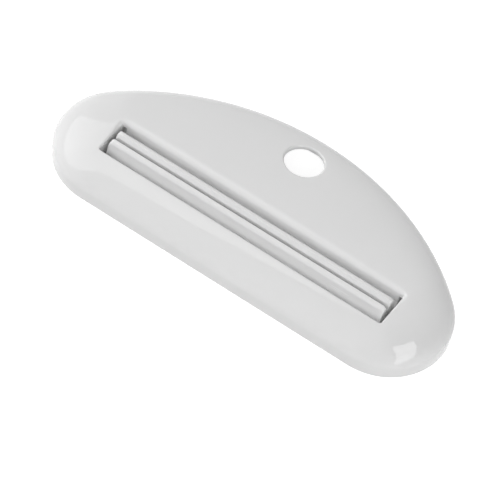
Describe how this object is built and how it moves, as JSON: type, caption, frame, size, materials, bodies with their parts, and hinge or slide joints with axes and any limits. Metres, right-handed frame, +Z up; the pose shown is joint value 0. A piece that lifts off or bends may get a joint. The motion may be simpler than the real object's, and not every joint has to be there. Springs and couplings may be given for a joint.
{
  "type": "toothpaste tube squeezer",
  "caption": "Half-moon moulded squeezer: a domed shell with a long window, sprung lips that pinch a tube's tail, and a hang hole.",
  "frame": {"origin": "middle of the shell's footprint, on the surface it stands on", "axes": "+X along the slit, +Y from the straight front edge to the curved rear edge, +Z up through the dome"},
  "size_m": [0.093, 0.041, 0.0079],
  "materials": {
    "shell_plastic": "glossy moulded white",
    "lip_plastic": "satin moulded white"
  },
  "bodies": {
    "shell": {"shell": "shell_plastic"},
    "front_jaw": {"front_lip": "lip_plastic", "front_hinge_web": "lip_plastic"},
    "rear_jaw": {"rear_lip": "lip_plastic", "rear_hinge_web": "lip_plastic"}
  },
  "joints": [
    {"name": "front_lip_flex", "type": "hinge", "parent": "shell", "child": "front_jaw", "pos_m": [0, -0.0125, 0.00295], "axis": [1, 0, 0], "range_deg": [-3.5, 18], "stiffness_Nm_per_rad": 1},
    {"name": "rear_lip_flex", "type": "hinge", "parent": "shell", "child": "rear_jaw", "pos_m": [0, -0.00395, 0.00295], "axis": [-1, 0, 0], "range_deg": [-3.5, 18], "stiffness_Nm_per_rad": 1}
  ]
}
